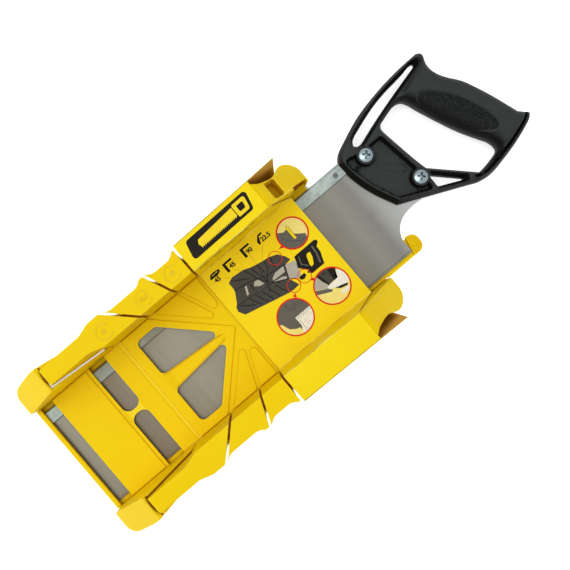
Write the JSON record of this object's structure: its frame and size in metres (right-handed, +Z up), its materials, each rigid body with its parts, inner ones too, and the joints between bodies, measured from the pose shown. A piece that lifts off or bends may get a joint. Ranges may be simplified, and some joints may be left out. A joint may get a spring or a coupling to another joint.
{
  "type": "miter box saw",
  "caption": "Mitre box with saw slots in both walls and a back saw stored under its bed, held by a thumb latch and wrapped in a printed card sleeve.",
  "frame": {"origin": "middle of the bounding box, on the table under it; the crossing point of the saw slots is at x = -0.0657 m", "axes": "+X along the box towards the saw handle, +Y towards the wall with the pencil hole, +Z up"},
  "size_m": [0.5134, 0.1698, 0.0748],
  "materials": {
    "box_plastic": "moulded ABS, light satin gloss",
    "lock_plastic": "moulded ABS, light satin gloss",
    "blade_steel": "rolled and polished along its length",
    "spine_steel": "bright zinc-plated steel",
    "rivet_steel": "zinc-plated steel",
    "handle_plastic": "black moulded plastic, satin",
    "screw_zinc": "bright zinc plate",
    "card": "coated printed card"
  },
  "bodies": {
    "box": {"base_plate": "box_plastic", "end_wall": "box_plastic", "left_wall": "box_plastic", "right_wall": "box_plastic"},
    "saw": {"blade": "blade_steel", "spine": "spine_steel", "spine_rivet": "rivet_steel", "handle": "handle_plastic", "handle_screw_1": "screw_zinc", "handle_screw_2": "screw_zinc", "handle_nut_1": "screw_zinc", "handle_nut_2": "screw_zinc"},
    "latch": {"saw_lock": "lock_plastic"},
    "sleeve": {"sleeve_front": "card", "sleeve_floor": "card", "sleeve_left_inner": "card", "sleeve_right_inner": "card", "sleeve_left_flap": "card", "sleeve_right_flap": "card", "sleeve_left_side": "card", "sleeve_right_side": "card"}
  },
  "joints": [
    {"name": "saw_slide", "type": "slide", "parent": "box", "child": "saw", "axis": [1, 0, 0], "range_m": [0, 0.37]},
    {"name": "latch_press", "type": "hinge", "parent": "box", "child": "latch", "pos_m": [0.0343, -0.048, 0.0106], "axis": [0, 1, 0], "range_deg": [-2, 5], "stiffness_Nm_per_rad": 6},
    {"name": "sleeve_slide", "type": "slide", "parent": "box", "child": "sleeve", "axis": [-1, 0, 0], "range_m": [0, 0.305]}
  ]
}
